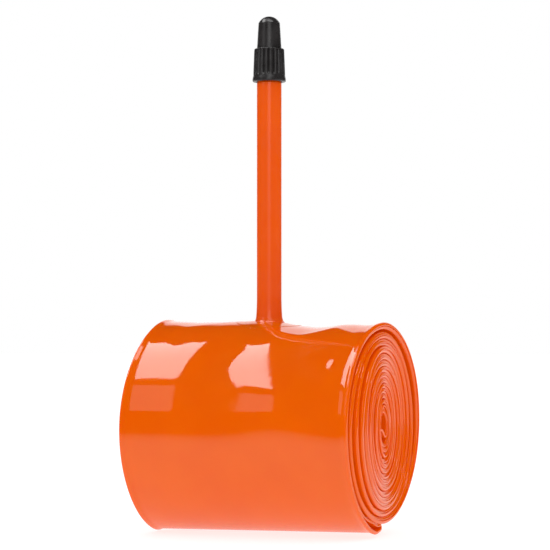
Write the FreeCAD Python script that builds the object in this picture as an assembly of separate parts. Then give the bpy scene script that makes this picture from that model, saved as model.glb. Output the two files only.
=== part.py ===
import FreeCAD, Part
import math
import os

# A bicycle inner tube of thermoplastic film, folded flat, doubled and rolled up, with its
# valve standing out of the top of the roll.
# Millimetres. X runs along the axis of the roll, Z points up along the valve stem, and the
# origin is on the floor under the middle of the roll.

# Rolled tube
FLAT_WIDTH = 57.0           # width of the flattened tube, which is the length of the roll
LIMB = 0.475                # thickness of one flattened limb, two films of the wall
LIMB_GAP = 0.05             # air between the two limbs of the doubled strip
STRIP = 2 * LIMB + LIMB_GAP
OUTER_R = 25.5              # radius of the outermost quarter turn
TURNS = 13
FIRST_PITCH = 2.0           # radial step of the outermost, loosest turn
LAST_PITCH = 1.1            # radial step of the innermost, tightest turn
CENTRE_Y = FIRST_PITCH * 3 / 8      # puts the middle of the roll's width on Y = 0
CENTRE_Z = 25.2             # lower than OUTER_R, because the roll sags flat on the floor
SAG_R = 12.0                # bend between the flat underside and the round of the roll
FLAP_Y = 1.5                # where the outer end of the strip, its fold, points along +Y

# Valve stem and its patch
STEM_X = -0.8               # the stem stands a little off the middle of the roll's length
STEM_R = 3.0
STEM_BORE_R = 1.7
STEM_TOP = 109.6
NECK_R = 2.8                 # the stem is stepped in under the cap's mouth
NECK_BOTTOM = 108.4
FOOT_R = 3.2
FOOT_HEIGHT = 5.5
PATCH_R = 8.0
PATCH_THICK = 0.4
FILM_HOLE_R = 1.6

# Threaded sleeve moulded into the top of the stem
INSERT_R = 2.45
INSERT_BORE_R = 2.0
INSERT_LENGTH = 9.0
INSERT_FLANGE = 0.6
INSERT_TOP = STEM_TOP + INSERT_FLANGE

# Removable valve core
CORE_THREAD_R = 1.95
CORE_THREAD_LENGTH = 8.5
BARREL_R = 1.6
BARREL_BOTTOM = 93.6
COLLAR_R = 2.75
COLLAR_HEIGHT = 1.35
COLLAR_FLATS = 5.0          # across the two spanner flats
SEAT_GAP = 0.05             # between the collar and the sleeve's flange
CAP_THREAD_R = 2.6
CAP_THREAD_LENGTH = 4.4
NOSE_HEIGHT = 0.8
NOSE_R = 1.9
CORE_BORE_R = 0.98
SEAL_R = 1.96
SEAL_BORE_R = 1.62
SEAL_HEIGHT = 1.0

# Valve pin, its rubber washer and its knurled lock nut
PIN_R = 0.9
PIN_TOP = 121.7
PIN_HEAD_R = 1.45
PIN_HEAD = 1.0
WASHER_R = 1.5
WASHER_HEIGHT = 1.0
WASHER_GAP = 0.02           # under the barrel, with the valve shut
NUT_R = 1.95
NUT_HEIGHT = 2.6
NUT_BOTTOM = 118.4          # backed off, as for pumping, so that the pin can travel
NUT_BORE_R = 0.95
NUT_KNURLS = 20
KNURL_R = 0.16

# Dust cap
CAP_BOTTOM = 108.6
LIP_R = 4.02
LIP_HEIGHT = 1.0
SKIRT_BOTTOM_R = 3.88
SKIRT_TOP_R = 3.62
SKIRT_BOTTOM = CAP_BOTTOM + LIP_HEIGHT + 0.6
SKIRT_TOP = 116.6
SKIRT_ROUND = 0.3
UPPER_BOTTOM_R = 2.97
UPPER_TOP_R = 2.62
UPPER_TOP = 122.6
CROWN_R = 1.7               # where the dome's shoulder meets its flatter crown
CROWN_EDGE = 123.85
SHOULDER_BULGE = (2.36, 123.28)     # radius and height of a point on the dome's shoulder
CAP_TOP = 124.5
CAP_MOUTH_R = 3.2
CAP_MOUTH_TOP = 111.9
CAP_THREAD_BORE_R = 2.65
CAP_THREAD_TOP = 116.9
CAP_NOSE_BORE_R = 2.25
CAP_NOSE_TOP = 121.9
CAP_TIP_R = 1.3
CAP_TIP = 122.9
GRIP_RIBS = 18
GROOVE_R = 0.36

VERTICAL = FreeCAD.Vector(0, 0, 1)


def place(y, z):
    """A point of the roll's section, which is drawn on its left end."""
    return FreeCAD.Vector(-FLAT_WIDTH / 2, y, z)


def arc(centre, radius, start_deg, end_deg):
    """A circular edge of the roll's section, round a centre given as (y, z)."""
    def at(angle):
        turn = math.radians(angle)
        return place(centre[0] + radius * math.cos(turn), centre[1] + radius * math.sin(turn))
    return Part.Arc(at(start_deg), at((start_deg + end_deg) / 2), at(end_deg)).toShape()


def segment(start, end):
    return Part.LineSegment(place(*start), place(*end)).toShape()


def turn_sizes():
    """The outer radius and a quarter of the pitch of each turn, from the outside in."""
    sizes = []
    radius = OUTER_R
    for turn in range(TURNS):
        pitch = FIRST_PITCH + (LAST_PITCH - FIRST_PITCH) * turn / (TURNS - 1)
        sizes.append((radius, pitch / 4))
        radius -= pitch
    return sizes, radius


def quarter_arcs():
    """Centre, radius and angles of every tangent quarter arc of the strip's outer face.

    Each turn steps inward by moving the centre of the next quarter a quarter pitch.
    """
    arcs = []
    for radius, step in turn_sizes()[0]:
        arcs.append(((CENTRE_Y, CENTRE_Z), radius, -90, -180))
        arcs.append(((CENTRE_Y - step, CENTRE_Z), radius - step, 180, 90))
        arcs.append(((CENTRE_Y - step, CENTRE_Z + step), radius - 2 * step, 90, 0))
        arcs.append(((CENTRE_Y, CENTRE_Z + step), radius - 3 * step, 0, -90))
    return arcs


def sag():
    """The bend that joins the flat underside to the first quarter: its centre and angle."""
    drop = CENTRE_Z - SAG_R
    reach = math.sqrt((OUTER_R - SAG_R) ** 2 - drop ** 2)
    return (CENTRE_Y - reach, SAG_R), math.degrees(math.atan2(-drop, -reach))


def strip_line(depth):
    """The strip's path from its flap to its inner end, depth below the outer face."""
    centre, angle = sag()
    edges = [segment((FLAP_Y - STRIP / 2, depth), (centre[0], depth)),
             arc(centre, SAG_R - depth, -90, angle)]
    first = True
    for middle, radius, start, end in quarter_arcs():
        if first:
            start = angle
            first = False
        edges.append(arc(middle, radius - depth, start, end))
    return edges


def fold(y, z, radius, way):
    """The half circle that joins the two limbs, bulging along +Y or -Y."""
    return arc((y, z), radius, -90, -90 + 180 * way)


def closed(outer_depth, inner_depth):
    """A closed wire between two depths of the strip, folded at both ends."""
    half = (inner_depth - outer_depth) / 2
    middle = (inner_depth + outer_depth) / 2
    end_z = CENTRE_Z - turn_sizes()[1] + middle
    edges = strip_line(outer_depth)
    edges += [fold(CENTRE_Y, end_z, half, -1)]
    edges += strip_line(inner_depth)[::-1]
    edges += [fold(FLAP_Y - STRIP / 2, middle, half, 1)]
    return Part.Wire(Part.__sortEdges__(edges))


def strip_length():
    """Length of the doubled strip along the middle of its thickness."""
    return sum(edge.Length for edge in strip_line(STRIP / 2))


def over_top(lift):
    """The roll's top surface, raised by lift, as two arcs that meet above the stem."""
    radius, step = turn_sizes()[0][0]
    span = math.degrees(1.25 * PATCH_R / radius)
    left = arc((CENTRE_Y - step, CENTRE_Z), radius - step + lift, 90 + span, 90)
    right = arc((CENTRE_Y - step, CENTRE_Z + step), radius - 2 * step + lift, 90, 90 - span)
    return [left, right]


def extruded(edges, start_x, length):
    wire = Part.Wire(Part.__sortEdges__(edges))
    solid = Part.Face(wire).extrude(FreeCAD.Vector(length, 0, 0))
    solid.translate(FreeCAD.Vector(start_x + FLAT_WIDTH / 2, 0, 0))
    return solid


def ends(edges):
    """First and last point of a run of edges drawn left to right, as (y, z)."""
    first = edges[0].valueAt(edges[0].FirstParameter)
    last = edges[-1].valueAt(edges[-1].LastParameter)
    return (first.y, first.z), (last.y, last.z)


def top_band(low, high):
    """A band over the top of the roll between two heights above its surface."""
    lower, upper = over_top(low), over_top(high)
    low_left, low_right = ends(lower)
    high_left, high_right = ends(upper)
    sides = [segment(low_left, high_left), segment(low_right, high_right)]
    return extruded(lower + upper + sides, STEM_X - 1.2 * PATCH_R, 2.4 * PATCH_R)


def rod(radius, bottom, top, x=STEM_X, y=0.0):
    return Part.makeCylinder(radius, top - bottom, FreeCAD.Vector(x, y, bottom), VERTICAL)


def turned(profile):
    """A solid of revolution about the stem from (radius, z) corners.

    A triple (radius, z, bulge) reaches its corner by an arc through the point bulge.
    """
    points = [FreeCAD.Vector(STEM_X + corner[0], 0, corner[1]) for corner in profile]
    edges = []
    for index, corner in enumerate(profile):
        before = points[index - 1]
        if len(corner) == 3:
            through = FreeCAD.Vector(STEM_X + corner[2][0], 0, corner[2][1])
            edges.append(Part.Arc(before, through, points[index]).toShape())
        else:
            edges.append(Part.LineSegment(before, points[index]).toShape())
    face = Part.Face(Part.Wire(Part.__sortEdges__(edges)))
    return face.revolve(FreeCAD.Vector(STEM_X, 0, 0), VERTICAL, 360)


def ring(outer_r, inner_r, bottom, top):
    return turned([(inner_r, bottom), (outer_r, bottom), (outer_r, top), (inner_r, top)])


def around(tool, count):
    """The same tool repeated round the stem."""
    copies = []
    for index in range(count):
        copy = tool.copy()
        copy.rotate(FreeCAD.Vector(STEM_X, 0, 0), VERTICAL, 360 * index / count)
        copies.append(copy)
    return copies


def tube_roll():
    """The whole flattened tube: one closed ring, doubled and rolled."""
    outline = Part.Face(closed(0, STRIP))
    gap = Part.Face(closed(LIMB, LIMB + LIMB_GAP))
    roll = outline.cut(gap).Faces[0].extrude(FreeCAD.Vector(FLAT_WIDTH, 0, 0))
    crest = top_height()
    return roll.cut(rod(FILM_HOLE_R, crest - LIMB / 2, crest + 1))


def top_height():
    radius, step = turn_sizes()[0][0]
    return CENTRE_Z + radius - step


def valve_patch():
    """Round welded patch that follows the top of the roll."""
    blank = top_band(0, PATCH_THICK)
    crest = top_height()
    disc = rod(PATCH_R, crest - 5, crest + 5)
    return blank.common(disc).cut(rod(STEM_BORE_R, crest - 1, crest + 2))


def valve_stem():
    """Long smooth stem with a flared foot, hollow for the air and the core."""
    foot = top_height() + PATCH_THICK
    flare_mid = (STEM_R + 0.03, foot + FOOT_HEIGHT * 0.55)
    blank = turned([(STEM_BORE_R, foot - 2), (FOOT_R, foot - 2), (FOOT_R, foot + 0.5),
                    (STEM_R, foot + FOOT_HEIGHT, flare_mid), (STEM_R, NECK_BOTTOM),
                    (NECK_R, NECK_BOTTOM), (NECK_R, STEM_TOP),
                    (INSERT_R, STEM_TOP), (INSERT_R, STEM_TOP - INSERT_LENGTH),
                    (STEM_BORE_R, STEM_TOP - INSERT_LENGTH)])
    return blank.cut(top_band(-4, PATCH_THICK))


def stem_insert():
    """Brass sleeve with a flange, which holds the core."""
    return turned([(INSERT_BORE_R, STEM_TOP - INSERT_LENGTH), (INSERT_R, STEM_TOP - INSERT_LENGTH),
                   (INSERT_R, STEM_TOP), (NECK_R, STEM_TOP), (NECK_R, INSERT_TOP),
                   (INSERT_BORE_R, INSERT_TOP)])


def core_body():
    """Valve core: barrel, lower thread, collar with two flats, cap thread and nose."""
    collar_bottom = INSERT_TOP + SEAT_GAP
    collar_top = collar_bottom + COLLAR_HEIGHT
    thread_bottom = collar_bottom - CORE_THREAD_LENGTH
    thread_top = collar_top + CAP_THREAD_LENGTH
    blank = turned([(CORE_BORE_R, BARREL_BOTTOM), (BARREL_R, BARREL_BOTTOM),
                    (BARREL_R, thread_bottom), (CORE_THREAD_R, thread_bottom),
                    (CORE_THREAD_R, collar_bottom), (COLLAR_R, collar_bottom),
                    (COLLAR_R, collar_top), (CAP_THREAD_R, collar_top),
                    (CAP_THREAD_R, thread_top), (NOSE_R, thread_top + NOSE_HEIGHT),
                    (CORE_BORE_R, thread_top + NOSE_HEIGHT)])
    for side in (-1, 1):
        flat = Part.makeBox(8, 2, COLLAR_HEIGHT)
        low_y = COLLAR_FLATS / 2 if side > 0 else -COLLAR_FLATS / 2 - 2
        flat.translate(FreeCAD.Vector(STEM_X - 4, low_y, collar_bottom))
        blank = blank.cut(flat)
    return blank


def core_seal():
    """Rubber ring under the core's lower thread."""
    top = INSERT_TOP + SEAT_GAP - CORE_THREAD_LENGTH
    return ring(SEAL_R, SEAL_BORE_R, top - SEAL_HEIGHT, top)


def core_pin():
    """Pin with a head under the washer."""
    head_top = BARREL_BOTTOM - WASHER_GAP - WASHER_HEIGHT
    return rod(PIN_R, head_top - PIN_HEAD, PIN_TOP).fuse(
        rod(PIN_HEAD_R, head_top - PIN_HEAD, head_top)).removeSplitter()


def pin_seal():
    """Rubber washer that shuts the valve against the end of the barrel."""
    top = BARREL_BOTTOM - WASHER_GAP
    return ring(WASHER_R, PIN_R, top - WASHER_HEIGHT, top)


def lock_nut():
    """Knurled nut on the pin."""
    blank = ring(NUT_R, NUT_BORE_R, NUT_BOTTOM, NUT_BOTTOM + NUT_HEIGHT)
    knurl = rod(KNURL_R, NUT_BOTTOM - 1, NUT_BOTTOM + NUT_HEIGHT + 1, STEM_X + NUT_R)
    return blank.cut(around(knurl, NUT_KNURLS))


def crown_bulge():
    """A point on the cap's spherical crown, half way from its edge to its top."""
    rise = CAP_TOP - CROWN_EDGE
    radius = (CROWN_R ** 2 + rise ** 2) / (2 * rise)
    half_turn = math.asin(CROWN_R / radius) / 2
    return (radius * math.sin(half_turn), CAP_TOP - radius * (1 - math.cos(half_turn)))


def valve_cap():
    """Dust cap: plain tapered top with a dome, ribbed skirt and a lip round the mouth."""
    outside = turned([
        (0, CAP_BOTTOM), (LIP_R - 0.15, CAP_BOTTOM),
        (LIP_R, CAP_BOTTOM + 0.15), (LIP_R, CAP_BOTTOM + LIP_HEIGHT),
        (SKIRT_BOTTOM_R, SKIRT_BOTTOM), (SKIRT_TOP_R, SKIRT_TOP - SKIRT_ROUND),
        (SKIRT_TOP_R - SKIRT_ROUND, SKIRT_TOP), (UPPER_BOTTOM_R, SKIRT_TOP),
        (UPPER_TOP_R, UPPER_TOP), (CROWN_R, CROWN_EDGE, SHOULDER_BULGE),
        (0, CAP_TOP, crown_bulge())])
    inside = turned([
        (0, CAP_BOTTOM - 1), (CAP_MOUTH_R, CAP_BOTTOM - 1), (CAP_MOUTH_R, CAP_MOUTH_TOP),
        (CAP_THREAD_BORE_R, CAP_MOUTH_TOP), (CAP_THREAD_BORE_R, CAP_THREAD_TOP),
        (CAP_NOSE_BORE_R, CAP_THREAD_TOP), (CAP_NOSE_BORE_R, CAP_NOSE_TOP),
        (CAP_TIP_R, CAP_TIP), (0, CAP_TIP)])
    taper = math.degrees(math.atan2(SKIRT_BOTTOM_R - SKIRT_TOP_R, SKIRT_TOP - SKIRT_BOTTOM))
    groove = Part.makeCylinder(GROOVE_R, SKIRT_TOP - SKIRT_BOTTOM + 1)
    groove.rotate(FreeCAD.Vector(0, 0, 0), FreeCAD.Vector(0, 1, 0), -taper)
    groove.translate(FreeCAD.Vector(STEM_X + SKIRT_BOTTOM_R, 0, SKIRT_BOTTOM))
    return outside.cut(inside).cut(around(groove, GRIP_RIBS))


NODES = [tube_roll, valve_patch, valve_stem, stem_insert, core_body, core_seal, core_pin,
         pin_seal, lock_nut, valve_cap]


def main():
    os.makedirs("parts", exist_ok=True)
    for make in NODES:
        shape = make()
        name = make.__name__
        box = shape.optimalBoundingBox()
        print(f"{name}: solids {len(shape.Solids)} valid {shape.isValid()}"
              f" volume {shape.Volume:.2f} z {box.ZMin:.2f} to {box.ZMax:.2f}"
              f" y {box.YMin:.2f} to {box.YMax:.2f}")
        shape.exportStep(f"parts/{name}.step")
    print(f"strip length {strip_length():.0f} mm")


main()
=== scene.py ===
import math
import bmesh
import bpy
import numpy as np
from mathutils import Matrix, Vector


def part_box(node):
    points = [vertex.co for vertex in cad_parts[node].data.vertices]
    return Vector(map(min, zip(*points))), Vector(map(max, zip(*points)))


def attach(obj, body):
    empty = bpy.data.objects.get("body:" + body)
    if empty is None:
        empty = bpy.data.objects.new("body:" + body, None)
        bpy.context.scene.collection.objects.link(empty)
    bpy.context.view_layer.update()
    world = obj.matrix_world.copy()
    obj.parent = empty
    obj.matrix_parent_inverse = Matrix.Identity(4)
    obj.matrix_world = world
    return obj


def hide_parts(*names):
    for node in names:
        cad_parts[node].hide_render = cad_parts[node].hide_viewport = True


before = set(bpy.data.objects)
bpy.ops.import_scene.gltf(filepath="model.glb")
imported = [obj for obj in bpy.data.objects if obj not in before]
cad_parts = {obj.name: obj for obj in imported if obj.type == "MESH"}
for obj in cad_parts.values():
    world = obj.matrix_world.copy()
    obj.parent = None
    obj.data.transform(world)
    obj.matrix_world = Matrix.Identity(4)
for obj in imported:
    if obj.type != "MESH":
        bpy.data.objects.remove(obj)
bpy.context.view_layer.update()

# An inner tube, pressed flat, doubled and rolled up, with its valve. Lengths below are in
# millimetres, and meshes are scaled to metres when they are made. A place round the roll is
# told by its turn, counted along the strip from the outer end: 0 is at the bottom, 0.25 at the
# front, 0.5 on top and 0.75 at the back.
MM = 0.001


def node_box(name):
    """Lowest and highest corner of a CAD node, in millimetres."""
    low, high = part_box(name)
    return np.array(low) / MM, np.array(high) / MM


ROLL_LOW, ROLL_HIGH = node_box("tube_roll")
STEM_LOW, STEM_HIGH = node_box("valve_stem")
CAP_LOW, CAP_HIGH = node_box("valve_cap")
CORE_LOW, CORE_HIGH = node_box("core_body")
PIN_LOW, PIN_HIGH = node_box("core_pin")
NUT_LOW, NUT_HIGH = node_box("lock_nut")
STEM_X = (CAP_LOW[0] + CAP_HIGH[0]) / 2

# The rolled strip, as the CAD model has it: two flattened limbs side by side, wound inward.
LIMB = 0.475                # thickness of a limb, which is two films
LIMB_GAP = 0.05
STRIP = 2 * LIMB + LIMB_GAP
FIRST_PITCH = 2.0           # from the outermost turn to the next
LAST_PITCH = 1.1
TURNS = 13
OUTER_R = (ROLL_HIGH[1] - ROLL_LOW[1] + 0.75 * FIRST_PITCH) / 2
CENTRE_Y = ROLL_HIGH[1] - OUTER_R + 0.75 * FIRST_PITCH
CENTRE_Z = ROLL_HIGH[2] - OUTER_R + FIRST_PITCH / 4
HALF_LENGTH = (ROLL_HIGH[0] - ROLL_LOW[0]) / 2
SAG_R = 12.0                # of the lower front, where the roll sags on to the floor
FLAP_Y = -1.4               # where the outer end of the strip folds back
INNER_END = 14.70           # turn at which the strip leaves the spiral and crosses the middle
OUTER_END = 1.2             # turn up to which the strip lies outside, with some to spare
FINE_END = 1.12             # turn up to which the outer limb has all its points
FLAP_END = 0.04             # turn up to which the strip is the flap under the roll
OUTER_LIMB, INNER_LIMB, FOLD = 0, 1, 2
FOLD_STEPS = 10             # between the limbs, round a folded end of the strip

# Across the strip: each limb has a folded edge, a neck beside it, and flat film between.
EDGE_STEPS = 7              # points round half of a folded edge
NECK = np.array([0.35, 0.8, 1.4, 2.2, 3.4])     # their distances from the folded edge
NECK_FADE = 0.8             # how fast the edge's thickness fades into the film's
FINE = 89                   # places across the flat film of the outer turn
COARSE_EVERY = 18           # one in this many goes on through the hidden turns
EDGE_GAP = 0.02             # between the two limbs
GROOVE = 0.05               # half the width of the groove between the two limbs' edges
SIDE = EDGE_STEPS + len(NECK)
ALL_COLUMNS = list(range(2 * SIDE + FINE))
COARSE_COLUMNS = (ALL_COLUMNS[:SIDE] + ALL_COLUMNS[SIDE + COARSE_EVERY // 2:SIDE + FINE:COARSE_EVERY]
                  + ALL_COLUMNS[SIDE + FINE:])

END_TAPER = 0.014           # the right end is wound this much tighter than the middle
FLOOR_GAP = 0.02            # the film's lowest place above the floor
MM_PER_DEG = math.radians(1) * 25.0     # along the outer turn, for one degree round the roll

# The valve, as the CAD model has it
STEM_R = 3.0
STEM_BORE_R = 1.7
NECK_R = 2.8                # of the stem's top, under the cap
NECK_HEIGHT = 1.2
SLEEVE_R = 2.45             # of the brass sleeve in the stem's top
SLEEVE_DEPTH = 9.0
FLANGE_HEIGHT = 0.6
PATCH_R = 8.0
PATCH_RIM = 0.8             # width of the patch's rounded rim
RIBS = 18
DOME_R = 2.85
COLLAR_HEIGHT = 1.35
CAP_THREAD = 4.4            # length of the thread that holds the cap
CORE_THREAD = 8.5           # length of the thread that holds the core
NOSE = 0.8                  # height of the core's tapered top

rng = np.random.default_rng(7)


# ---------------------------------------------------------------- meshes

def mesh_object(name, points, faces, material, smooth_deg=40):
    """A mesh from points in millimetres, smooth but for edges sharper than smooth_deg."""
    mesh = bpy.data.meshes.new(name)
    mesh.from_pydata((np.asarray(points) * MM).tolist(), [], faces)
    mesh.validate()
    mesh.materials.append(material)
    mesh.shade_smooth()
    mesh.set_sharp_from_angle(angle=math.radians(smooth_deg))
    obj = bpy.data.objects.new(name, mesh)
    bpy.context.scene.collection.objects.link(obj)
    return obj


def grid_faces(rows, columns, first=0):
    """Quads of a grid whose columns wrap round."""
    faces = []
    for row in range(rows - 1):
        for column in range(columns):
            a = first + row * columns + column
            b = first + row * columns + (column + 1) % columns
            faces.append((a, b, b + columns, a + columns))
    return faces


def closed_outline(corners, radius, steps, step):
    """A closed (radius, z) outline through the corners, each rounded but the first."""
    return dense(rounded(corners + corners[:1], radius, steps), step)[:-1]


def lathe(name, profile, material, columns=96, shape=None, smooth_deg=40):
    """A closed solid turned round the stem's axis from (radius, z) pairs.

    The profile runs up the outside and down the inside, or starts and ends on the axis.
    shape(radius, z, angle) may change the radius.
    """
    profile = np.array(profile, float)
    angles = np.linspace(0, 2 * math.pi, columns, endpoint=False)
    radius = np.repeat(profile[:, :1], columns, axis=1)
    height = np.repeat(profile[:, 1:], columns, axis=1)
    if shape is not None:
        radius = shape(radius, height, angles[None, :])
    x = STEM_X + radius * np.cos(angles)
    y = radius * np.sin(angles)
    points = np.stack([x, y, height], axis=2).reshape(-1, 3)
    rows = len(profile)
    faces = grid_faces(rows, columns)
    if profile[0, 0] > 1e-6:
        last = (rows - 1) * columns
        for column in range(columns):
            following = (column + 1) % columns
            faces.append((last + column, last + following, following, column))
    obj = mesh_object(name, points, faces, material, smooth_deg)
    merge_doubles(obj)
    return obj


def merge_doubles(obj):
    """Join points that coincide, such as those on a lathe's axis, and turn the faces outward."""
    made = bmesh.new()
    made.from_mesh(obj.data)
    bmesh.ops.remove_doubles(made, verts=made.verts, dist=1e-7)
    bmesh.ops.recalc_face_normals(made, faces=made.faces)
    made.to_mesh(obj.data)
    made.free()


def rounded(corners, radius, steps=4):
    """The (radius, z) corners, each rounded but the first and the last.

    A corner's third number, where it has one, is its own rounding.
    """
    out = [corners[0]]
    for before, corner, after in zip(corners, corners[1:], corners[2:]):
        p, c, n = (np.array(q[:2], float) for q in (before, corner, after))
        r = corner[2] if len(corner) == 3 else radius
        reach = min(r, 0.45 * np.linalg.norm(p - c), 0.45 * np.linalg.norm(n - c))
        start = c + (p - c) / np.linalg.norm(p - c) * reach
        end = c + (n - c) / np.linalg.norm(n - c) * reach
        for step in range(steps + 1):
            f = step / steps
            out.append(tuple((1 - f) ** 2 * start + 2 * f * (1 - f) * c + f ** 2 * end))
    out.append(corners[-1])
    return [q[:2] for q in out]


def dense(profile, step):
    """The profile with extra points so that no stretch is longer than step."""
    out = [profile[0]]
    for start, end in zip(profile, profile[1:]):
        a, b = np.array(start, float), np.array(end, float)
        parts = max(1, int(math.ceil(np.linalg.norm(b - a) / step)))
        out += [tuple(a + (b - a) * k / parts) for k in range(1, parts + 1)]
    return out


# ---------------------------------------------------------------- the roll's path

def bump(value, middle, width):
    """A smooth hump of height 1."""
    return np.exp(-((value - middle) / width) ** 2)


def pitch_of(turn):
    """From a turn of the strip to the next one inward."""
    return FIRST_PITCH + (LAST_PITCH - FIRST_PITCH) * min(turn, TURNS) / (TURNS - 1)


def spiral_point(turn):
    """Middle of the strip's thickness on the four-centre spiral, turn counted from the flap."""
    whole = int(turn)
    radius = OUTER_R - sum(pitch_of(k) for k in range(whole))
    step = pitch_of(whole) / 4
    quarter = int((turn - whole) * 4)
    centre_y = CENTRE_Y - (step if quarter in (1, 2) else 0)
    centre_z = CENTRE_Z + (step if quarter in (2, 3) else 0)
    angle = math.radians(-90 - 360 * (turn - whole))
    reach = radius - quarter * step - STRIP / 2
    return centre_y + reach * math.cos(angle), centre_z + reach * math.sin(angle)


def smooth_curve(points, per_span):
    """A Catmull-Rom curve through given points."""
    pts = np.array(points, float)
    pts = np.vstack([2 * pts[0] - pts[1], pts, 2 * pts[-1] - pts[-2]])
    out = []
    for i in range(1, len(pts) - 2):
        a, b, c, d = pts[i - 1:i + 3]
        for k in range(per_span):
            f = k / per_span
            out.append(0.5 * (2 * b + (c - a) * f + (2 * a - 5 * b + 4 * c - d) * f ** 2
                              + (3 * b - a - 3 * c + d) * f ** 3))
    out.append(pts[-2])
    return out


def puffed(y):
    """How much thicker the strip is where its outer end folds back, at a place along it."""
    return 1 + 0.05 * bump(y, FLAP_Y, 3.2)


def strip_path():
    """Points of the strip's middle from the flap to the inner fold, and each one's turn."""
    points, turns = [], []
    sag_y = CENTRE_Y - math.sqrt((OUTER_R - SAG_R) ** 2 - (CENTRE_Z - SAG_R) ** 2)
    sag_deg = math.degrees(math.atan2(SAG_R - CENTRE_Z, sag_y - CENTRE_Y))
    for y in np.arange(FLAP_Y - STRIP / 2, sag_y, -0.5):
        points.append((y, STRIP / 2))
        turns.append(0.0)
    for angle in np.linspace(-90, sag_deg, 6, endpoint=False):
        a = math.radians(angle)
        points.append((sag_y + (SAG_R - STRIP / 2) * math.cos(a),
                       SAG_R + (SAG_R - STRIP / 2) * math.sin(a)))
        turns.append((-90 - angle) / 360)
    turn = (-90 - sag_deg) / 360
    while turn < INNER_END:
        points.append(spiral_point(turn))
        turns.append(turn)
        # the shoulder's creases are narrow, so the points are closest there
        outer_step = 1 / 340 if 0.36 < turn < 0.5 else 1 / 150
        turn += outer_step if turn < OUTER_END else 1 / 84
    y, z = spiral_point(INNER_END)
    tail = [points[-1], (y, z), (y - 0.6, z - 2.2), (y - 2.4, z - 3.0), (y - 4.4, z - 2.2),
            (y - 6.6, z - 1.4), (y - 7.9, z - 1.6)]
    crossing = smooth_curve(tail, 7)[8:]
    points += [tuple(q) for q in crossing]
    turns += list(np.linspace(INNER_END, INNER_END + 0.4, len(crossing)))
    points, turns = np.array(points), np.array(turns)
    # the flap's tip curls up
    lift = 0.95 * bump(points[:, 0], FLAP_Y, 2.9)
    points[:, 1] += lift * np.clip(1 - turns / 0.13, 0, 1)
    return points, turns


def loosen(points, turns):
    """Uneven winding: each turn wanders a little, and wide gaps open under the outer turns."""
    shift = np.zeros(len(turns))
    # where round the roll each gap is, how wide it is in turns, and how deep in mm
    for turn, width, depth in ((1.0, 0.11, 0.95), (1.40, 0.12, 0.60), (2.42, 0.13, 0.22),
                               (1.98, 0.12, 0.70), (2.98, 0.12, 0.45), (3.98, 0.12, 0.2)):
        shift += depth * bump(turns, turn, width)
    settle = np.clip((turns - 1.1) / 0.3, 0, 1)
    for cycles in (1.31, 2.17, 3.73):
        shift += settle * 0.03 * np.sin(2 * math.pi * cycles * turns + rng.uniform(0, 6.28))
    moved = points + inward(points) * shift[:, None]
    # the hollow middle has been squeezed taller than it is wide
    share = np.clip((turns - 4) / (TURNS - 4), 0, 1)
    squeeze = share ** 2 * (3 - 2 * share)
    moved[:, 0] = CENTRE_Y + (moved[:, 0] - CENTRE_Y) * (1 - 0.26 * squeeze)
    moved[:, 1] = CENTRE_Z + (moved[:, 1] - CENTRE_Z) * (1 + 0.12 * squeeze)
    return moved


def inward(points):
    """Unit normals of the path, towards the inside of the roll."""
    along = np.gradient(points, axis=0)
    along /= np.linalg.norm(along, axis=1)[:, None]
    return np.stack([along[:, 1], -along[:, 0]], axis=1)


# ---------------------------------------------------------------- the film's surface

def front_angle(y, z):
    """Elevation of a surface point round the roll, 0 at the front, 90 on top, in degrees."""
    return np.degrees(np.arctan2(z - CENTRE_Z, CENTRE_Y - y))


def window(value, start, full, fade, end):
    """Smoothly 0 before start, 1 between full and fade, and 0 after end."""
    up = np.clip((value - start) / (full - start), 0, 1)
    down = np.clip((end - value) / (end - fade), 0, 1)
    return (3 * up ** 2 - 2 * up ** 3) * (3 * down ** 2 - 2 * down ** 3)


def soft_interp(x, places, values, reach=1.0):
    """Interpolation with its corners rounded over the given reach."""
    steps = np.array([-1, -0.5, 0, 0.5, 1]) * reach
    return sum(np.interp(x + step, places, values) for step in steps) / len(steps)


def shoulder(x, angle):
    """The outer turn swells a little up to a crease, and falls away above it."""
    place = soft_interp(x, [-28, -24, -19, -12, -8, -1, 1, 3, 5, 9, 12, 16, 19, 22, 24.5, 28],
                        [79, 75, 67, 74, 77, 79, 77, 72, 65.5, 62, 61, 66, 72.5, 67, 63, 66])
    depth = soft_interp(x, [-28, -24, -19, -13, -9, 0, 2, 5, 12, 16, 19, 22, 24.5, 27.5],
                        [0, 0.25, 0.5, 0.25, 0, 0, 0.5, 0.9, 1.0, 0.85, 0.6, 0.7, 0.8, 0.2])
    swell = soft_interp(x, [-28, -19, -10, -2, 5, 24, 28], [0, 0.2, 0, 0, 0.45, 0.45, 0.2])
    above = np.maximum(angle - place, 0) * MM_PER_DEG
    high = swell * window(angle, 24, 62, 100, 140)
    return high - depth * (1 - np.exp(-above / 3.4)) * window(angle, 0, 1, 100, 150)


def ramp_up(x, start, end, soft):
    """0 before start, then rising by 1 for each mm until end, with both corners softened."""
    return soft * (np.logaddexp(0, (x - start) / soft) - np.logaddexp(0, (x - end) / soft))


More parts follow.
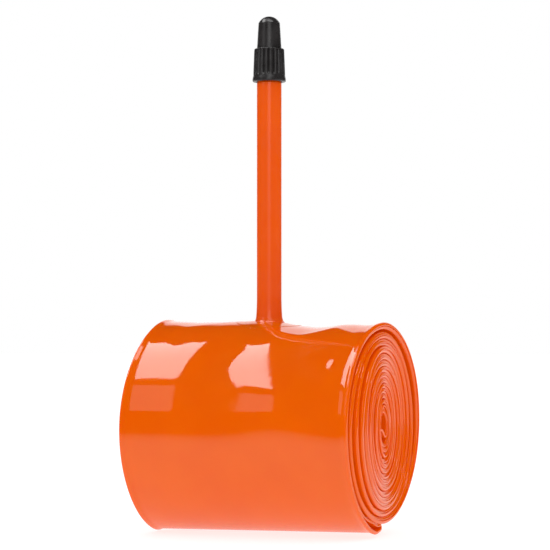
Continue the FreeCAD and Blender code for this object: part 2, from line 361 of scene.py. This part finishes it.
def front_slope(x, angle):
    """The front steps down from a proud left part to a hollow that ends in a low ridge.

    brink, foot and ridge say where along the roll each of these is, at an angle round it.
    """
    brink = soft_interp(angle, [5, 24, 26, 30, 35, 41, 48, 54, 58],
                        [-15.5, -15, -14.6, -13.2, -12.4, -11, -9.8, -9.0, -9.0], 2)
    foot = soft_interp(angle, [5, 20, 23, 27, 31, 33.5, 38.7, 43.7, 46.7, 53.4],
                       [3.4, 2.6, 0.9, -1.8, -3.1, -3.7, -3.0, -1.6, 0.1, 0.0], 2)
    ridge = soft_interp(angle, [9, 20, 23, 28, 33, 39.5, 46.7, 53],
                        [12, 11.5, 10.4, 9.8, 9.2, 8.4, 7.2, 5.8], 2)
    high = 0.30 + 0.02 * ramp_up(x, -19, brink, 0.6)
    high -= (0.70 + 0.02 * (brink + 19)) * ramp_up(x, brink, foot, 0.6) / (foot - brink)
    high += 0.014 * ramp_up(x, foot, ridge, 0.6)
    high -= 0.032 * ramp_up(x, ridge, ridge + 6, 0.6)
    high += 0.014 * ramp_up(x, ridge + 6, ridge + 18, 0.6)
    return high


def relief(x, y, z):
    """Height of the outer film above the plain roll: dents, creases and slack, in mm."""
    angle = front_angle(y, z)
    high = shoulder(x, angle)
    high += front_slope(x, angle) * window(angle, -45, 5, 62, 100)
    high += 0.20 * bump(x, -20.0, 9.0) * bump(angle, 42, 16)
    high += 0.60 * bump(x, 11.0, 11.0) * bump(angle, 11, 15)
    # small dents and a crinkle where the film is slack
    high -= 0.24 * bump(x, -18.4, 2.0) * bump(angle, 56, 8)
    high -= 0.06 * bump(x + 0.12 * (angle - 38), 21.3, 0.9) * bump(angle, 38, 4)
    high -= 0.05 * bump(x - 0.35 * (angle - 38), 21.3, 0.9) * bump(angle, 38, 4)
    for middle, at, wide, tall, depth in (
            (-9.0, 108, 6.0, 18, 0.25), (14.0, 112, 7.0, 20, 0.35), (-22.0, 124, 6.0, 20, 0.3),
            (5.0, 140, 8.0, 18, 0.3), (11.0, 86, 6.0, 12, 0.35)):
        high -= depth * bump(x, middle, wide) * bump(angle, at, tall)
    # long slack waves over the back
    back = window(np.abs(angle), 80, 110, 181, 190)
    high += back * 0.06 * np.sin(x / 9.0 + 1.0) * np.sin(np.radians(angle) * 3 + 0.6)
    high += back * 0.03 * np.sin(x / 5.3 + 0.4 + np.radians(angle) * 2)
    # the film is drawn up round the stem's foot
    to_stem = np.hypot(x - STEM_X, y)
    high += np.where(z > CENTRE_Z, 0.30 * bump(to_stem, 0, 6.5), 0)
    return high


def taper(points):
    """The roll is wound a little tighter at its right end, and rests on its left."""
    share = points[:, 0] / HALF_LENGTH
    factor = 1 - END_TAPER * share
    out = points.copy()
    out[:, 1] = CENTRE_Y + (points[:, 1] - CENTRE_Y) * factor
    out[:, 2] = CENTRE_Z + (points[:, 2] - CENTRE_Z) * factor + END_TAPER * CENTRE_Z
    # the thick folded edges are pressed flat where they would go into the floor
    out[:, 2] = np.maximum(out[:, 2], FLOOR_GAP)
    return out


def edge_profile(edge_r):
    """Distances in from a limb's edge and half thicknesses, from the fold to the flat film."""
    turned = np.radians(np.linspace(0, 90, EDGE_STEPS))
    neck_half = LIMB / 2 + (edge_r - LIMB / 2) * np.exp(-(NECK / NECK_FADE) ** 2)
    distance = np.concatenate([edge_r * (1 - np.cos(turned)), edge_r + NECK])
    return distance, np.concatenate([edge_r * np.sin(turned), neck_half])


def section(edge_r, left, right):
    """Across positions and half thicknesses of a limb, from its left edge to its right."""
    distance, edge_half = edge_profile(edge_r)
    flat = np.linspace(left + distance[-1], right - distance[-1], FINE + 2)[1:-1]
    xs = np.concatenate([left + distance, flat, right - distance[::-1]])
    half = np.concatenate([edge_half, np.full(FINE, edge_half[-1]), edge_half[::-1]])
    return xs, half


def folded_end(middle, start, beyond, turn, gap):
    """Stations round a folded end of the strip, from the direction start by way of beyond."""
    rows = []
    for k in range(1, FOLD_STEPS):
        a = math.pi * k / FOLD_STEPS
        way = start * math.cos(a) + beyond * math.sin(a)
        rows.append((middle, way, turn, FOLD, gap * (1 - k / FOLD_STEPS)))
    return rows


def stations():
    """Every cross-section of the closed ring: middle, direction, turn, limb and parting."""
    points, turns = strip_path()
    points = loosen(points, turns)
    normals = inward(points)
    # near the flap the inner limb stays up against the roll while the outer one lies flat
    steps = np.linalg.norm(np.diff(points, axis=0), axis=1)
    from_tip = np.concatenate([[0], np.cumsum(steps)])
    parted = 1.22 * bump(from_tip, 5.2, 5.4)
    past_end = np.array([-normals[-1][1], normals[-1][0]])
    past_flap = np.array([normals[0][1], -normals[0][0]])
    rows = [(p, -n, t, OUTER_LIMB, 0) for p, n, t in zip(points, normals, turns)]
    rows += folded_end(points[-1], -normals[-1], past_end, turns[-1], 0)
    rows += [(p, n, t, INNER_LIMB, gap) for p, n, t, gap
             in zip(points[::-1], normals[::-1], turns[::-1], parted[::-1])]
    rows += folded_end(points[0], normals[0], past_flap, turns[0], parted[0])
    return rows


def edge_wander(turn, limb):
    """How far the strip and each limb sit off the middle, sideways, at a turn."""
    drift = 0.14 * math.sin(2.1 * turn + 0.4) + 0.10 * math.sin(6.3 * turn + 2.0)
    drift += 0.06 * math.sin(15.1 * turn)
    own = 0.12 * math.sin(4.4 * turn + 1.3) * (1 if limb == INNER_LIMB else -1)
    # the turns under the outer one stand out at the front and are drawn in at the back
    out = np.interp(turn, [0.9, 2.0, 3.0, 4.0, 6.0, 9.0, 13.0], [0, 1.1, 1.8, 2.0, 1.5, 0.8, 0.2])
    out *= 0.25 + 0.75 * math.cos(2 * math.pi * (turn - 0.25))
    calm = min(1.0, 0.35 + 0.4 * turn)
    return (drift + own) * calm + out


def limb_ends(turn, limb):
    """Left and right end of a limb at a turn."""
    shift = edge_wander(turn, limb)
    inset = 0.12 if limb == INNER_LIMB else 0.0
    left = -HALF_LENGTH + shift + inset
    right = HALF_LENGTH + shift - inset
    if turn < OUTER_END:
        # the outer turn's edges are not square to the roll's axis
        left += 1.3 * bump(turn, 0.43, 0.11)
        right += 0.6 * bump(turn, 0.64, 0.14) - 0.35 * bump(turn, 0.90, 0.08)
    return left, right


def limb_outline(turn, limb, plump, columns):
    """A limb's closed outline: places across it and offsets from the strip's middle."""
    edge_r = min(0.41, 0.220 * pitch_of(turn))
    xs, half = section(edge_r, *limb_ends(turn, limb))
    # beyond the necks the two limbs share one round edge, with a groove between them
    sine = np.ones(len(xs))
    sine[:EDGE_STEPS] = half[:EDGE_STEPS] / edge_r
    sine[-EDGE_STEPS:] = half[-EDGE_STEPS:] / edge_r
    full = np.where(sine < 1, edge_r, half) * 2
    outside = plump * (EDGE_GAP / 2 + GROOVE + (full - GROOVE) * sine)
    inside = plump * (EDGE_GAP / 2 + GROOVE * (1 - sine))
    back = columns[-2:0:-1]
    return (np.concatenate([xs[columns], xs[back]]),
            np.concatenate([outside[columns], inside[back]]))


def make_roll(material):
    """The whole tube: one closed ring of film, swept round the rolled strip and back."""
    rows = stations()
    rings, points, coarse_flags = [], [], []
    for middle, way, turn, limb, gap in rows:
        plump = puffed(middle[0]) if turn < FLAP_END else 1.0
        coarse = turn > FINE_END or limb != OUTER_LIMB
        columns = COARSE_COLUMNS if coarse else ALL_COLUMNS
        xs, offsets = limb_outline(turn, limb, plump, columns)
        yz = middle[None, :] + way[None, :] * (offsets[:, None] + gap)
        rings.append(list(range(len(points), len(points) + len(xs))))
        points.extend(np.column_stack([xs, yz]))
        coarse_flags.append(coarse)
    points = displaced(np.array(points), rows, rings)
    obj = mesh_object("tube_film", points, ring_faces(rings, coarse_flags), material, 60)
    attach(obj, "tube")
    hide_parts("tube_roll")
    return obj


def displaced(points, rows, rings):
    """The rings with the outer film's relief pressed into the outer turns, then tapered."""
    turn = np.concatenate([np.full(len(ring), row[2]) for row, ring in zip(rows, rings)])
    out = points.copy()
    radial = points[:, 1:] - np.array([CENTRE_Y, CENTRE_Z])
    radial /= np.linalg.norm(radial, axis=1)[:, None]
    weight = np.interp(turn, [0, FLAP_END, 0.1, 1.05, 1.3, 2.3], [0, 0, 1, 1, 0.45, 0])
    above_floor = np.clip(points[:, 2] / 4.0 - 0.1, 0, 1)
    high = relief(points[:, 0], points[:, 1], points[:, 2]) * weight * above_floor
    out[:, 1:] += radial * high[:, None]
    return taper(out)


def ring_faces(rings, coarse_flags):
    """Faces between neighbouring rings, with many-sided ones where fine meets coarse."""
    size = 2 * len(ALL_COLUMNS) - 2
    places = COARSE_COLUMNS + [size - c for c in COARSE_COLUMNS[-2:0:-1]]
    faces = []
    for index, ring in enumerate(rings):
        after = (index + 1) % len(rings)
        following = rings[after]
        if coarse_flags[index] == coarse_flags[after]:
            n = len(ring)
            for k in range(n):
                j = (k + 1) % n
                faces.append((ring[k], ring[j], following[j], following[k]))
            continue
        leaves_fine = coarse_flags[after]
        fine, coarse = (ring, following) if leaves_fine else (following, ring)
        n = len(coarse)
        for k in range(n):
            low, high = places[k], places[(k + 1) % n]
            if high <= low:
                high += size
            face = [fine[j % size] for j in range(low, high + 1)]
            face += [coarse[(k + 1) % n], coarse[k]]
            faces.append(tuple(face if leaves_fine else face[::-1]))
    return faces


# ---------------------------------------------------------------- patch, stem, cap, core

def crest(x, y):
    """Points of the outer film on top of the roll, and the outward directions there."""
    step = FIRST_PITCH / 4
    radius = OUTER_R - step * np.where(y > CENTRE_Y - step, 2, 1)
    base_z = CENTRE_Z + np.where(y > CENTRE_Y - step, step, 0)
    z = base_z + np.sqrt(radius ** 2 - (y - CENTRE_Y + step) ** 2)
    points = np.stack([x, y, z], axis=1)
    radial = points[:, 1:] - np.array([CENTRE_Y, CENTRE_Z])
    radial /= np.linalg.norm(radial, axis=1)[:, None]
    points[:, 1:] += radial * relief(x, y, z)[:, None]
    return taper(points), radial


def make_patch(material):
    """Round welded patch, moulded over the film's relief."""
    flat_r = PATCH_R - PATCH_RIM
    rim = flat_r + PATCH_RIM * np.sin(np.linspace(0.15, 1, 7) * math.pi / 2)
    rings = np.concatenate([np.linspace(STEM_BORE_R + 0.05, flat_r, 14), rim])
    columns = 96
    angles = np.linspace(0, 2 * math.pi, columns, endpoint=False)
    points = []
    for top in (True, False):
        order = rings if top else rings[::-1]
        for radius in order:
            x = STEM_X + radius * np.cos(angles)
            y = radius * np.sin(angles)
            base, radial = crest(x, y)
            rounding = max(0.0, 1 - (max(radius - flat_r, 0) / PATCH_RIM) ** 2)
            thick = 0.05 + 0.28 * math.exp(-(radius / 4.0) ** 2)
            lift = 0.01 + (thick * math.sqrt(rounding) if top else 0)
            base[:, 1:] += radial * lift
            points.extend(base)
    faces = grid_faces(2 * len(rings), columns)
    last = (2 * len(rings) - 1) * columns
    for k in range(columns):
        faces.append((last + k, last + (k + 1) % columns, (k + 1) % columns, k))
    obj = mesh_object("valve_base_patch", np.array(points), faces, material, 60)
    merge_doubles(obj)
    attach(obj, "tube")
    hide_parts("valve_patch")
    return obj


def make_stem(material):
    """Smooth stem with a flared foot, a small weld bead and a thinner top under the cap."""
    foot = STEM_LOW[2] - 0.2
    top = STEM_HIGH[2]
    corners = [(STEM_BORE_R, foot), (3.75, foot), (3.8, foot + 0.35), (3.45, foot + 0.75),
               (3.2, foot + 1.5), (3.08, foot + 3.2), (STEM_R, foot + 5.8),
               (STEM_R, top - NECK_HEIGHT), (NECK_R, top - NECK_HEIGHT), (NECK_R, top),
               (SLEEVE_R, top), (SLEEVE_R, top - SLEEVE_DEPTH), (STEM_BORE_R, top - SLEEVE_DEPTH)]
    outline = dense(rounded(corners, 0.12) + corners[:1], 1.6)[:-1]
    obj = lathe("stem", outline, material)
    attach(obj, "tube")
    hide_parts("valve_stem")
    return obj


def make_cap(material):
    """Dust cap with a dome, a tapered neck, a skirt with rounded ribs and a lip."""
    low, top = CAP_LOW[2], CAP_HIGH[2]
    ribs_low, ribs_high = low + 1.55, low + 8.0
    mouth_r, thread_r, head_r = 3.2, 2.65, 2.25
    outside = [(mouth_r, low), (3.88, low, 0.1), (4.04, low + 0.2, 0.15), (4.02, low + 0.85, 0.2),
               (3.87, low + 1.35, 0.3), (3.62, low + 7.85, 0.12), (3.50, ribs_high, 0.1),
               (2.97, ribs_high, 0.12)]
    dome = [(DOME_R * math.sin(a), top - DOME_R * (1 - math.cos(a)))
            for a in np.radians(np.linspace(66, 0, 16))]
    outside += [(2.60, dome[0][1] - 0.1, 0.2)] + dome
    inside = [(0.0, low + 14.3), (1.3, low + 14.3), (head_r, low + 13.3), (head_r, low + 8.3),
              (thread_r, low + 8.3), (thread_r, low + 3.3), (mouth_r, low + 3.3), (mouth_r, low)]

    def ribbed(radius, height, angle):
        rise = np.clip((height - ribs_low) / 0.5, 0, 1)
        rise *= np.clip((ribs_high + 0.02 - height) / 0.25, 0, 1)
        on_skirt = np.clip((radius - 3.3) / 0.1, 0, 1)
        wave = np.abs(np.cos(angle * RIBS / 2)) ** 0.8
        return radius - 0.42 * (1 - wave) * rise * on_skirt

    outline = dense(rounded(outside, 0.1), 0.35)
    hollow = dense(rounded(inside, 0.08), 1.2)
    obj = lathe("dust_cap", outline + hollow, material, RIBS * 12, ribbed, 50)
    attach(obj, "cap")
    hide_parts("valve_cap")
    return obj


def threaded(low, high, pitch, depth):
    """A radius rule that cuts a right-hand thread between two heights."""
    def cut(radius, height, angle):
        phase = (height - low) / pitch - angle / (2 * math.pi)
        tooth = np.abs(2 * (phase - np.floor(phase)) - 1)
        fade = np.clip((height - low) / (0.5 * pitch), 0, 1)
        fade = fade * np.clip((high - height) / (0.5 * pitch), 0, 1)
        return radius - depth * np.clip(1.35 * tooth - 0.15, 0, 1) * fade
    return cut


def make_core(metal, rubber):
    """Core body with its collar, threads and nose, and the ring under its thread."""
    low, top = CORE_LOW[2], CORE_HIGH[2]
    nose = top - NOSE
    collar_top = nose - CAP_THREAD
    collar = collar_top - COLLAR_HEIGHT
    thread = collar - CORE_THREAD
    bore_r, barrel_r, thread_r, collar_r, cap_thread_r = 0.98, 1.6, 1.95, 2.75, 2.6
    half_flats = 2.5
    corners = [(bore_r, low), (barrel_r, low), (barrel_r, thread), (thread_r, thread),
               (thread_r, collar), (collar_r, collar), (collar_r, collar_top),
               (cap_thread_r, collar_top), (cap_thread_r, nose), (1.9, top), (bore_r, top)]
    upper = threaded(collar_top + 0.15, top - 0.3, 0.8, 0.22)
    lower = threaded(thread + 0.1, collar - 0.2, 0.7, 0.15)

    def shape(radius, height, angle):
        for_cap = (radius > cap_thread_r - 0.3) & (height > collar_top + 0.05)
        cut = np.where(for_cap, upper(radius, height, angle), radius)
        in_sleeve = (radius > thread_r - 0.15) & (height < collar)
        cut = np.where(in_sleeve, lower(cut, height, angle), cut)
        flats = half_flats / np.maximum(np.abs(np.sin(angle)), 1e-3)
        on_collar = (height > collar - 0.01) & (height < collar_top + 0.01)
        return np.where(on_collar, np.minimum(cut, flats), cut)

    outline = closed_outline(corners, 0.08, 2, 0.12)
    body = lathe("core_metal", outline, metal, 120, shape, 35)
    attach(body, "core")
    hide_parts("core_body")
    seal_low, seal_high = node_box("core_seal")
    ring = ring_piece("core_seal_ring", 1.62, 1.96, seal_low[2], seal_high[2], rubber)
    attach(ring, "core")
    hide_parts("core_seal")


def ring_piece(name, inner, outer, low, high, material):
    """A plain ring with rounded edges."""
    corners = [(inner, low), (outer, low), (outer, high), (inner, high)]
    outline = rounded(corners + corners[:1], 0.12)[1:-1] + corners[:1]
    return lathe(name, outline, material, 64)


def make_pin(metal, rubber):
    """Valve pin with a head at the bottom and a thread for the nut, and the washer on it."""
    low, top = PIN_LOW[2], PIN_HIGH[2]
    head_r, shank_r = 1.45, 0.9
    thread_low = top - 5.2
    corners = [(0.0, low), (head_r, low, 0.2), (head_r, low + 1.0, 0.1), (shank_r, low + 1.0),
               (shank_r, top - 0.25, 0.1), (0.6, top, 0.1), (0.0, top)]
    outline = dense(rounded(corners, 0.05, 3), 0.1)
    cut = threaded(thread_low, top - 0.2, 0.45, 0.12)

    def shape(radius, height, angle):
        on_thread = (radius > shank_r - 0.2) & (height > thread_low)
        return np.where(on_thread, cut(radius, height, angle), radius)

    obj = lathe("valve_pin", outline, metal, 64, shape, 35)
    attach(obj, "pin")
    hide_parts("core_pin")
    seal_low, seal_high = node_box("pin_seal")
    washer = ring_piece("pin_washer", 0.92, 1.5, seal_low[2], seal_high[2], rubber)
    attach(washer, "pin")
    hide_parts("pin_seal")


def make_nut(metal):
    """Lock nut with a diamond-cut rim."""
    low, high = NUT_LOW[2], NUT_HIGH[2]
    bore_r, rim_r, chamfer = 0.95, 1.95, 0.45
    corners = [(bore_r, low), (1.5, low), (rim_r, low + chamfer), (rim_r, high - chamfer),
               (1.55, high), (bore_r, high)]

    def shape(radius, height, angle):
        one = np.abs(np.sin(12 * angle + 5.5 * height))
        other = np.abs(np.sin(12 * angle - 5.5 * height))
        return radius - np.where(radius > rim_r - 0.2, 0.13 * (1 - np.minimum(one, other)), 0)

    outline = closed_outline(corners, 0.06, 2, 0.1)
    obj = lathe("lock_nut_metal", outline, metal, 192, shape, 50)
    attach(obj, "nut")
    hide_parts("lock_nut")


def make_insert(metal):
    """Brass sleeve for the core, with a flange on the stem's top."""
    low, high = node_box("stem_insert")
    bore_r = 2.0
    flange = high[2] - FLANGE_HEIGHT
    corners = [(bore_r, low[2]), (SLEEVE_R, low[2]), (SLEEVE_R, flange), (NECK_R, flange),
               (NECK_R, high[2]), (bore_r, high[2])]
    obj = lathe("insert_sleeve", closed_outline(corners, 0.08, 3, 0.8), metal)
    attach(obj, "tube")
    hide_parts("stem_insert")


# ---------------------------------------------------------------- materials

def new_material(name):
    """A material with its nodes, its links and its surface shader."""
    material = bpy.data.materials.new(name)
    material.use_nodes = True
    nodes = material.node_tree.nodes
    shader = nodes["Principled BSDF"]
    return material, nodes, material.node_tree.links, shader


def noise(nodes, links, scale, detail=3.0, coordinate=None):
    """Noise of so many cells to the metre, in the object's coordinates if no others are given."""
    texture = nodes.new("ShaderNodeTexNoise")
    texture.inputs["Scale"].default_value = scale
    texture.inputs["Detail"].default_value = detail
    if coordinate is None:
        coordinate = nodes.new("ShaderNodeTexCoord").outputs["Object"]
    links.new(coordinate, texture.inputs["Vector"])
    return texture.outputs["Fac"]


def ramp(nodes, links, factor, low, high, start=0.35, end=0.65):
    """A colour or grey that runs between two values as factor goes from start to end."""
    node = nodes.new("ShaderNodeValToRGB")
    node.color_ramp.elements[0].position = start
    node.color_ramp.elements[1].position = end
    node.color_ramp.elements[0].color = (*low, 1)
    node.color_ramp.elements[1].color = (*high, 1)
    links.new(factor, node.inputs["Fac"])
    return node.outputs["Color"]


def bumped(nodes, links, shader, height, strength, distance):
    """Fine unevenness of the surface; distance is in metres."""
    node = nodes.new("ShaderNodeBump")
    node.inputs["Strength"].default_value = strength
    node.inputs["Distance"].default_value = distance
    links.new(height, node.inputs["Height"])
    links.new(node.outputs["Normal"], shader.inputs["Normal"])


def film_material():
    """Glossy, faintly cloudy orange film."""
    material, nodes, links, shader = new_material("orange_film")
    cloud = noise(nodes, links, 90)
    colour = ramp(nodes, links, cloud, (0.74, 0.099, 0.0), (0.765, 0.109, 0.0))
    links.new(colour, shader.inputs["Base Color"])
    rough = ramp(nodes, links, noise(nodes, links, 160), (0.05,) * 3, (0.08,) * 3)
    links.new(rough, shader.inputs["Roughness"])
    shader.inputs["IOR"].default_value = 1.5
    # painted glow: the film gives off a faint, even orange light of its own all over; the subsurface
    # below is what lets light through the thin film
    shader.inputs["Emission Color"].default_value = (0.90, 0.11, 0.0, 1)
    shader.inputs["Emission Strength"].default_value = 0.12
    shader.inputs["Subsurface Weight"].default_value = 0.30
    shader.inputs["Subsurface Radius"].default_value = (1.0, 0.2, 0.02)
    shader.inputs["Subsurface Scale"].default_value = 0.002
    bumped(nodes, links, shader, noise(nodes, links, 700, 2), 0.04, 0.0002)
    return material


def stem_material():
    """Half-glossy orange plastic."""
    material, nodes, links, shader = new_material("orange_stem")
    colour = ramp(nodes, links, noise(nodes, links, 120), (0.82, 0.088, 0.0),
                  (0.85, 0.098, 0.001))
    links.new(colour, shader.inputs["Base Color"])
    rough = ramp(nodes, links, noise(nodes, links, 260), (0.16,) * 3, (0.22,) * 3)
    links.new(rough, shader.inputs["Roughness"])
    shader.inputs["Specular IOR Level"].default_value = 0.4
    shader.inputs["Subsurface Weight"].default_value = 0.08
    shader.inputs["Subsurface Radius"].default_value = (1.0, 0.25, 0.05)
    shader.inputs["Subsurface Scale"].default_value = 0.0015
    bumped(nodes, links, shader, noise(nodes, links, 900, 2), 0.05, 0.0002)
    return material


def cap_material():
    """Satin black plastic with a moulded grain."""
    material, nodes, links, shader = new_material("black_cap")
    colour = ramp(nodes, links, noise(nodes, links, 300), (0.016, 0.014, 0.014),
                  (0.026, 0.023, 0.023))
    links.new(colour, shader.inputs["Base Color"])
    rough = ramp(nodes, links, noise(nodes, links, 900), (0.26,) * 3, (0.34,) * 3)
    links.new(rough, shader.inputs["Roughness"])
    bumped(nodes, links, shader, noise(nodes, links, 2400, 3), 0.12, 0.0001)
    return material


def metal_material(name, dark, light, low, high):
    """Turned metal with fine marks round it."""
    material, nodes, links, shader = new_material(name)
    colour = ramp(nodes, links, noise(nodes, links, 500), dark, light)
    links.new(colour, shader.inputs["Base Color"])
    shader.inputs["Metallic"].default_value = 1.0
    rough = ramp(nodes, links, noise(nodes, links, 1500), (low,) * 3, (high,) * 3)
    links.new(rough, shader.inputs["Roughness"])
    stretched = nodes.new("ShaderNodeMapping")
    stretched.inputs["Scale"].default_value = (200, 200, 9000)
    links.new(nodes.new("ShaderNodeTexCoord").outputs["Object"], stretched.inputs["Vector"])
    marks = noise(nodes, links, 1.0, 2, stretched.outputs["Vector"])
    bumped(nodes, links, shader, marks, 0.15, 0.00003)
    return material


def rubber_material():
    """Matt black rubber."""
    material, nodes, links, shader = new_material("seal_rubber")
    colour = ramp(nodes, links, noise(nodes, links, 800), (0.012,) * 3, (0.024,) * 3)
    links.new(colour, shader.inputs["Base Color"])
    shader.inputs["Roughness"].default_value = 0.7
    bumped(nodes, links, shader, noise(nodes, links, 3000, 3), 0.3, 0.00005)
    return material


# ---------------------------------------------------------------- stage

# Lengths below this line are in metres.
AXIS_Y, AXIS_Z = CENTRE_Y * MM, CENTRE_Z * MM
PANEL_DISTANCE = 1.0        # from the roll's axis to the softboxes, along the reflected view
VIEW_DEG = 23.0             # the camera stands this far round to the right
CAMERA_DISTANCE = 0.55
CAMERA_HEIGHT = 0.0463
LENS_MM = 149.4
LOOK_UP_DEG = 1.6312        # leaves room above the cap
LOOK_ASIDE_DEG = 0.1456     # puts the stem a little left of the middle
SOFTBOXES = (               # name, lowest and highest elevation, right edge, width, strength
    ("key_softbox", 50, 102, -0.375, 0.40, 6.5),
    ("fill_softbox", 16.5, 43, -0.375, 0.40, 1.0),
    ("top_softbox", 68, 88, 0.50, 0.65, 5.0),
    ("front_strip", 10, 60, 0.64, 0.50, 1.8),
    ("front_low", -3, 10, 0.64, 0.50, 0.6),
)
FLOOR_HALF = 6.0            # half the floor's width


def emission(name, strength):
    """A material that only gives white light."""
    material = bpy.data.materials.new(name)
    material.use_nodes = True
    nodes, links = material.node_tree.nodes, material.node_tree.links
    nodes.clear()
    shader = nodes.new("ShaderNodeEmission")
    shader.inputs["Color"].default_value = (1, 1, 1, 1)
    shader.inputs["Strength"].default_value = strength
    output = nodes.new("ShaderNodeOutputMaterial")
    links.new(shader.outputs[0], output.inputs["Surface"])
    return material


def softbox(name, low_deg, high_deg, right, width, strength):
    """A curved softbox round the roll's axis, between two elevations seen from the roll.

    It only shows in reflections; the even light of the studio comes from the world.
    """
    radius = PANEL_DISTANCE * math.cos(math.radians(VIEW_DEG))
    points = []
    for a in np.radians(np.linspace(low_deg, high_deg, 25)):
        y = AXIS_Y - radius * math.cos(a)
        z = AXIS_Z + radius * math.sin(a)
        points += [(right - width, y, z), (right, y, z)]
    faces = [(k, k + 1, k + 3, k + 2) for k in range(0, len(points) - 2, 2)]
    light = emission(name + "_light", strength)
    panel = mesh_object(name, np.array(points) / MM, faces, light)
    panel.visible_camera = False
    panel.visible_diffuse = False


def make_floor():
    """White table, lit evenly; in reflections it falls off towards the viewer."""
    points = [(x * FLOOR_HALF, y * FLOOR_HALF, 0) for x, y in ((-1, -1), (1, -1), (1, 1), (-1, 1))]
    material, nodes, links, shader = new_material("pale_floor")
    colour = ramp(nodes, links, noise(nodes, links, 8), (0.38,) * 3, (0.40,) * 3)
    links.new(colour, shader.inputs["Base Color"])
    shader.inputs["Roughness"].default_value = 0.9
    shader.inputs["Specular IOR Level"].default_value = 0.1
    shader.inputs["Emission Color"].default_value = (1, 1, 1, 1)
    shader.inputs["Emission Strength"].default_value = 0.75
    split = nodes.new("ShaderNodeSeparateXYZ")
    links.new(nodes.new("ShaderNodeNewGeometry").outputs["Position"], split.inputs[0])
    far = nodes.new("ShaderNodeMapRange")
    far.interpolation_type = "SMOOTHSTEP"
    far.inputs["From Min"].default_value = -0.07
    far.inputs["From Max"].default_value = -0.22
    far.inputs["To Min"].default_value = 0.12
    links.new(split.outputs["Y"], far.inputs["Value"])
    both = nodes.new("ShaderNodeMath")
    both.operation = "MULTIPLY"
    links.new(far.outputs[0], both.inputs[0])
    links.new(nodes.new("ShaderNodeLightPath").outputs["Is Glossy Ray"], both.inputs[1])
    dark = nodes.new("ShaderNodeBsdfDiffuse")
    dark.inputs["Color"].default_value = (0.02, 0.02, 0.02, 1)
    mix = nodes.new("ShaderNodeMixShader")
    links.new(both.outputs[0], mix.inputs[0])
    links.new(shader.outputs[0], mix.inputs[1])
    links.new(dark.outputs[0], mix.inputs[2])
    links.new(mix.outputs[0], nodes["Material Output"].inputs["Surface"])
    floor = mesh_object("floor", np.array(points) / MM, [(0, 1, 2, 3)], material)


def make_world():
    """White studio: even light on every side, and reflections only from behind the object."""
    world = bpy.data.worlds.new("studio")
    bpy.context.scene.world = world
    world.use_nodes = True
    nodes, links = world.node_tree.nodes, world.node_tree.links
    nodes.clear()
    where = nodes.new("ShaderNodeTexCoord")
    split = nodes.new("ShaderNodeSeparateXYZ")
    links.new(where.outputs["Generated"], split.inputs[0])
    # reflected, the backdrop is bright only behind the object and low down
    lean = nodes.new("ShaderNodeMath")
    lean.operation = "MULTIPLY_ADD"
    lean.inputs[1].default_value = -1.35
    links.new(split.outputs["Z"], lean.inputs[0])
    links.new(split.outputs["Y"], lean.inputs[2])
    back = ramp(nodes, links, lean.outputs[0], (0.01,) * 3, (1.15,) * 3, 0.0, 0.14)
    # the backdrop is only so wide, so surfaces that face sideways reflect the dark room
    across = nodes.new("ShaderNodeVectorMath")
    across.operation = "DOT_PRODUCT"
    across.inputs[1].default_value = (math.cos(math.radians(VIEW_DEG)),
                                      math.sin(math.radians(VIEW_DEG)), 0)
    links.new(where.outputs["Generated"], across.inputs[0])
    aside = nodes.new("ShaderNodeMath")
    aside.operation = "ABSOLUTE"
    links.new(across.outputs["Value"], aside.inputs[0])
    end = ramp(nodes, links, aside.outputs[0], (1, 1, 1), (0, 0, 0), 0.42, 0.62)
    limited = nodes.new("ShaderNodeMix")
    limited.data_type = "RGBA"
    limited.inputs["A"].default_value = (0.01, 0.01, 0.01, 1)
    links.new(end, limited.inputs["Factor"])
    links.new(back, limited.inputs["B"])
    path = nodes.new("ShaderNodeLightPath")
    mirrored = nodes.new("ShaderNodeBackground")
    links.new(limited.outputs["Result"], mirrored.inputs["Color"])
    even = nodes.new("ShaderNodeBackground")
    even.inputs["Color"].default_value = (1, 1, 1, 1)
    even.inputs["Strength"].default_value = 1.0
    mix = nodes.new("ShaderNodeMixShader")
    links.new(path.outputs["Is Glossy Ray"], mix.inputs[0])
    links.new(even.outputs[0], mix.inputs[1])
    links.new(mirrored.outputs[0], mix.inputs[2])
    output = nodes.new("ShaderNodeOutputWorld")
    links.new(mix.outputs[0], output.inputs["Surface"])


def make_camera():
    """Camera at the photo's angle: low, to the right of the roll's front, with a long lens."""
    data = bpy.data.cameras.new("camera")
    data.sensor_width = 36.0
    data.lens = LENS_MM
    data.clip_start = 0.01
    data.clip_end = 50
    camera = bpy.data.objects.new("camera", data)
    bpy.context.scene.collection.objects.link(camera)
    turn = math.radians(VIEW_DEG)
    camera.location = (STEM_X * MM + CAMERA_DISTANCE * math.sin(turn),
                       -CAMERA_DISTANCE * math.cos(turn), CAMERA_HEIGHT)
    camera.rotation_euler = (math.radians(90 + LOOK_UP_DEG), 0,
                             math.radians(VIEW_DEG - LOOK_ASIDE_DEG))
    bpy.context.scene.camera = camera


def main():
    """The camera, the studio and every piece of the object."""
    make_camera()
    make_world()
    make_floor()
    for box in SOFTBOXES:
        softbox(*box)
    film = film_material()
    make_roll(film)
    make_patch(film)
    make_stem(stem_material())
    make_cap(cap_material())
    nickel = metal_material("nickel", (0.62, 0.60, 0.57), (0.72, 0.70, 0.66), 0.22, 0.36)
    brass = metal_material("brass", (0.66, 0.47, 0.22), (0.78, 0.58, 0.30), 0.25, 0.42)
    rubber = rubber_material()
    make_core(nickel, rubber)
    make_pin(brass, rubber)
    make_nut(nickel)
    make_insert(brass)
    bpy.context.scene.view_settings.view_transform = "Standard"


main()
